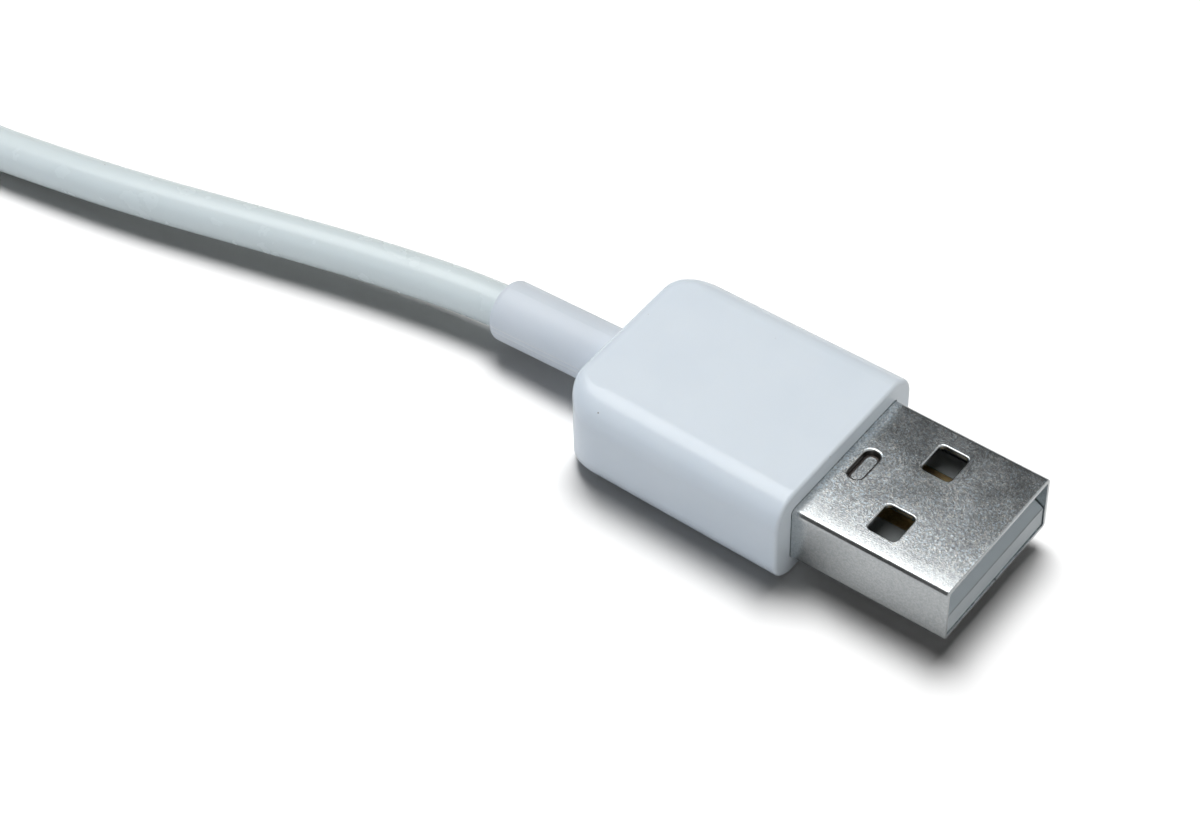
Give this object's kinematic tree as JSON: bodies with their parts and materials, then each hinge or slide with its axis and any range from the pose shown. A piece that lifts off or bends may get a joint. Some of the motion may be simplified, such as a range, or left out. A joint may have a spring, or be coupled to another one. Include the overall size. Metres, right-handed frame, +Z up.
{
  "type": "usb cable",
  "caption": "White USB cable: a moulded A plug with a nickel shell, a short sleeve, a thin round cord put away in a tied coil, and a small reversible plug on the far end.",
  "frame": {"origin": "middle of the A plug and its sleeve, on the surface under the housing", "axes": "+X the way the A plug is pushed in, +Z up from the surface it lies on, +Y to the plug's left"},
  "size_m": [0.1435, 0.0436, 0.016],
  "materials": {
    "housing_white": "smooth moulded white with a cool tint",
    "sleeve_white": "soft moulded white",
    "cord_white": "smooth extruded white jacket",
    "nickel_sheet": "matt nickel-plated sheet with a fine grain",
    "insulator_pale": "pale moulded plastic",
    "insulator_black": "black moulded plastic",
    "contact_gold": "gold-plated",
    "tinned": "tinned",
    "wire_red": "coloured insulation",
    "wire_white": "coloured insulation",
    "wire_green": "coloured insulation",
    "wire_black": "coloured insulation",
    "card_green": "solder mask",
    "chip_black": "ceramic chip",
    "tie_white": "soft band"
  },
  "bodies": {
    "root": {"plug_housing": "housing_white", "usb_shell": "nickel_sheet", "contact_block": "insulator_pale", "contact_power": "contact_gold", "contact_data_minus": "contact_gold", "contact_data_plus": "contact_gold", "contact_ground": "contact_gold", "shield_lower": "tinned", "shield_upper": "tinned", "wire_power": "wire_red", "wire_data_minus": "wire_white", "wire_data_plus": "wire_green", "wire_ground": "wire_black", "drain_wire": "tinned", "solder_joints": "tinned", "strain_relief": "sleeve_white", "cord_lead": "cord_white", "cord_coil": "cord_white", "cord_tail": "cord_white", "cord_ties": "tie_white", "c_plug_housing": "housing_white", "c_plug_sleeve": "sleeve_white", "c_plug_shell": "nickel_sheet", "c_plug_insulator": "insulator_black", "c_upper_contacts": "contact_gold", "c_lower_contacts": "contact_gold", "c_side_latches": "tinned", "c_paddle_card": "card_green", "c_id_resistor": "chip_black", "c_wire_power": "wire_red", "c_wire_data_minus": "wire_white", "c_wire_data_plus": "wire_green", "c_wire_ground": "wire_black"}
  },
  "joints": []
}
